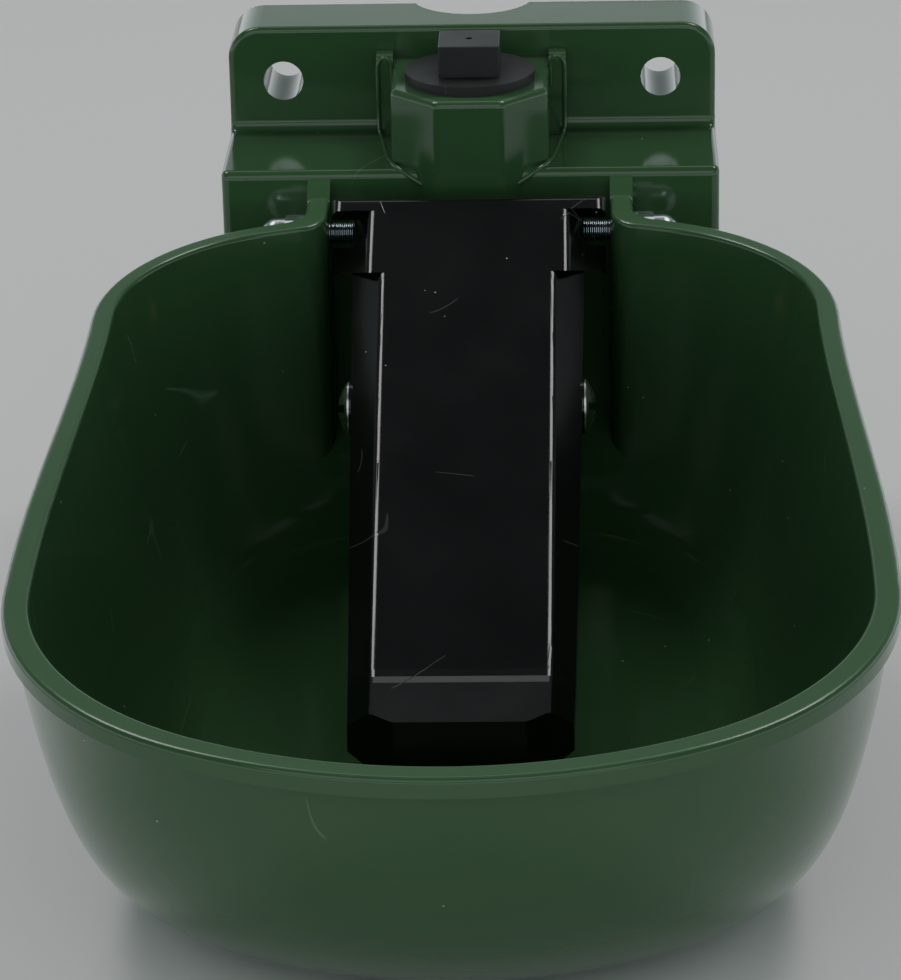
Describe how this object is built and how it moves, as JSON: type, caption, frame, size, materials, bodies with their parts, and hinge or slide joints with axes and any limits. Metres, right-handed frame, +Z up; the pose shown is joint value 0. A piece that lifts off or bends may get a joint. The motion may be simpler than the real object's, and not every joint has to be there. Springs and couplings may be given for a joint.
{
  "type": "livestock drinking bowl",
  "caption": "Wall or post mounted drinking bowl for livestock with an oval trough, a tongue that tilts a valve stem and a plugged upper water connection.",
  "frame": {"origin": "on the wall face, midway between the two wall screw holes", "axes": "+X to the right seen from the front, +Y into the wall, +Z up; the bowl reaches out along -Y"},
  "size_m": [0.1832, 0.3374, 0.1339],
  "materials": {
    "green_plastic": "gloss",
    "black_plastic": "semi-gloss",
    "steel": "brushed",
    "zinc": "bright zinc",
    "brass": "machined",
    "rubber": "matt",
    "fibre": "matt"
  },
  "bodies": {
    "base": {"bowl_body": "green_plastic", "pivot_pin": "steel", "pin_washer_left": "zinc", "pin_washer_right": "zinc", "cap_nut_left": "zinc", "cap_nut_right": "zinc", "inlet_plug": "black_plastic", "plug_seal": "rubber", "valve_body": "brass", "body_gasket": "fibre", "spring_seat": "brass", "valve_spring": "steel"},
    "tongue": {"tongue": "black_plastic", "cross_pin": "steel", "cross_pin_cap": "steel"},
    "stem": {"valve_stem": "steel", "stem_seal": "rubber", "seal_clip": "steel"}
  },
  "joints": [
    {"name": "tongue_swing", "type": "hinge", "parent": "base", "child": "tongue", "pos_m": [0, -0.0684, -0.0247], "axis": [1, 0, 0], "range_deg": [0, 5], "stiffness_Nm_per_rad": 1, "springref_deg": -5.73},
    {"name": "stem_tilt", "type": "hinge", "parent": "base", "child": "stem", "pos_m": [0, -0.057, -0.0509], "axis": [1, 0, 0], "range_deg": [0, 4.2], "deforming": ["valve_spring"]}
  ],
  "couplings": [
    {"joint": "stem_tilt", "follows": "tongue_swing", "ratio": 0.82}
  ]
}
